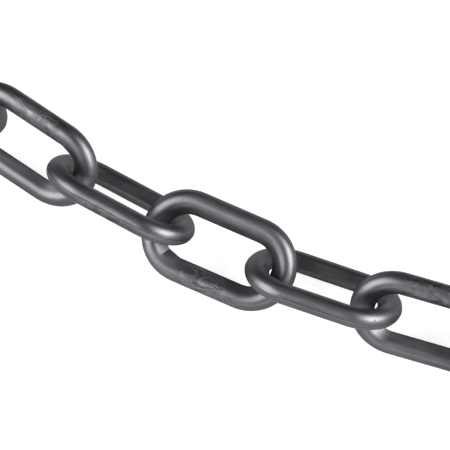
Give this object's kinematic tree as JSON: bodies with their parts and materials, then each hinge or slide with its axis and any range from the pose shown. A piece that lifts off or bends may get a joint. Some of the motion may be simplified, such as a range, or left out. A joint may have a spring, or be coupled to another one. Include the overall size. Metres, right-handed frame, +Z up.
{
  "type": "plastic chain",
  "caption": "Strand of heavy long-link moulded plastic chain in metallic grey, its links round outside and ridged inside, laid in a shallow curve.",
  "frame": {"origin": "centre of the bounding box's underside, on the floor", "axes": "+X along the strand's span, +Y towards the side its ends curve to, +Z up"},
  "size_m": [0.8646, 0.2376, 0.0311],
  "materials": {
    "grey_plastic": "satin, metallic grey pigment"
  },
  "bodies": {
    "link_01": {"link_01": "grey_plastic"},
    "link_02": {"link_02": "grey_plastic"},
    "link_03": {"link_03": "grey_plastic"},
    "link_04": {"link_04": "grey_plastic"},
    "link_05": {"link_05": "grey_plastic"},
    "link_06": {"link_06": "grey_plastic"},
    "link_07": {"link_07": "grey_plastic"},
    "link_08": {"link_08": "grey_plastic"},
    "link_09": {"link_09": "grey_plastic"},
    "link_10": {"link_10": "grey_plastic"},
    "link_11": {"link_11": "grey_plastic"},
    "link_12": {"link_12": "grey_plastic"},
    "link_13": {"link_13": "grey_plastic"},
    "link_14": {"link_14": "grey_plastic"},
    "link_15": {"link_15": "grey_plastic"},
    "link_16": {"link_16": "grey_plastic"},
    "link_17": {"link_17": "grey_plastic"},
    "link_18": {"link_18": "grey_plastic"},
    "link_19": {"link_19": "grey_plastic"},
    "link_20": {"link_20": "grey_plastic"},
    "link_21": {"link_21": "grey_plastic"},
    "link_22": {"link_22": "grey_plastic"},
    "link_23": {"link_23": "grey_plastic"}
  },
  "joints": [
    {"name": "link_13_swing", "type": "hinge", "parent": "link_12", "child": "link_13", "pos_m": [0.02695, -0.10471, 0.01409], "axis": [0, 0.7071, -0.7071], "range_deg": [-90, 90]},
    {"name": "link_14_swing", "type": "hinge", "parent": "link_13", "child": "link_14", "pos_m": [0.06907, -0.10018, 0.01409], "axis": [-0.0664, 0.704, 0.7071], "range_deg": [-90, 90]},
    {"name": "link_15_swing", "type": "hinge", "parent": "link_14", "child": "link_15", "pos_m": [0.11059, -0.0918, 0.01409], "axis": [0.1311, -0.6948, 0.7071], "range_deg": [-90, 90]},
    {"name": "link_16_swing", "type": "hinge", "parent": "link_15", "child": "link_16", "pos_m": [0.1512, -0.07976, 0.01409], "axis": [0.1926, -0.6804, -0.7071], "range_deg": [-90, 90]},
    {"name": "link_17_swing", "type": "hinge", "parent": "link_16", "child": "link_17", "pos_m": [0.19064, -0.06433, 0.01409], "axis": [-0.2496, 0.6616, -0.7071], "range_deg": [-90, 90]},
    {"name": "link_18_swing", "type": "hinge", "parent": "link_17", "child": "link_18", "pos_m": [0.22873, -0.04583, 0.01409], "axis": [-0.3017, 0.6395, 0.7071], "range_deg": [-90, 90]},
    {"name": "link_19_swing", "type": "hinge", "parent": "link_18", "child": "link_19", "pos_m": [0.26535, -0.02458, 0.01409], "axis": [0.3483, -0.6154, 0.7071], "range_deg": [-90, 90]},
    {"name": "link_20_swing", "type": "hinge", "parent": "link_19", "child": "link_20", "pos_m": [0.30044, -0.00091, 0.01409], "axis": [0.3897, -0.5901, -0.7071], "range_deg": [-90, 90]},
    {"name": "link_21_swing", "type": "hinge", "parent": "link_20", "child": "link_21", "pos_m": [0.33399, 0.0249, 0.01409], "axis": [-0.426, 0.5644, -0.7071], "range_deg": [-90, 90]},
    {"name": "link_22_swing", "type": "hinge", "parent": "link_21", "child": "link_22", "pos_m": [0.36603, 0.05256, 0.01409], "axis": [-0.4577, 0.539, 0.7071], "range_deg": [-90, 90]},
    {"name": "link_23_swing", "type": "hinge", "parent": "link_22", "child": "link_23", "pos_m": [0.39659, 0.08183, 0.01409], "axis": [0.4852, -0.5143, 0.7071], "range_deg": [-90, 90]},
    {"name": "link_11_swing", "type": "hinge", "parent": "link_12", "child": "link_11", "pos_m": [-0.02695, -0.10471, 0.01409], "axis": [0, 0.7071, -0.7071], "range_deg": [-90, 90]},
    {"name": "link_10_swing", "type": "hinge", "parent": "link_11", "child": "link_10", "pos_m": [-0.06907, -0.10018, 0.01409], "axis": [0.0664, 0.704, 0.7071], "range_deg": [-90, 90]},
    {"name": "link_09_swing", "type": "hinge", "parent": "link_10", "child": "link_09", "pos_m": [-0.11047, -0.0913, 0.01486], "axis": [-0.1294, -0.6398, 0.7576], "range_deg": [-90, 90]},
    {"name": "link_08_swing", "type": "hinge", "parent": "link_09", "child": "link_08", "pos_m": [-0.15086, -0.0788, 0.01524], "axis": [-0.1796, -0.5946, -0.7837], "range_deg": [-90, 90]},
    {"name": "link_07_swing", "type": "hinge", "parent": "link_08", "child": "link_07", "pos_m": [-0.19046, -0.06391, 0.01455], "axis": [0.2357, 0.6627, -0.7108], "range_deg": [-90, 90]},
    {"name": "link_06_swing", "type": "hinge", "parent": "link_07", "child": "link_06", "pos_m": [-0.22903, -0.0466, 0.01487], "axis": [0.3624, 0.7951, 0.4863], "range_deg": [-90, 90]},
    {"name": "link_05_swing", "type": "hinge", "parent": "link_06", "child": "link_05", "pos_m": [-0.26541, -0.02468, 0.01557], "axis": [-0.2894, -0.5165, 0.8059], "range_deg": [-90, 90]},
    {"name": "link_04_swing", "type": "hinge", "parent": "link_05", "child": "link_04", "pos_m": [-0.29992, 0.00004, 0.01518], "axis": [-0.358, -0.5143, -0.7793], "range_deg": [-90, 90]},
    {"name": "link_03_swing", "type": "hinge", "parent": "link_04", "child": "link_03", "pos_m": [-0.33399, 0.0249, 0.01409], "axis": [0.426, 0.5644, -0.7071], "range_deg": [-90, 90]},
    {"name": "link_02_swing", "type": "hinge", "parent": "link_03", "child": "link_02", "pos_m": [-0.36603, 0.05256, 0.01409], "axis": [0.4577, 0.539, 0.7071], "range_deg": [-90, 90]},
    {"name": "link_01_swing", "type": "hinge", "parent": "link_02", "child": "link_01", "pos_m": [-0.39659, 0.08183, 0.01409], "axis": [-0.4852, -0.5143, 0.7071], "range_deg": [-90, 90]}
  ]
}
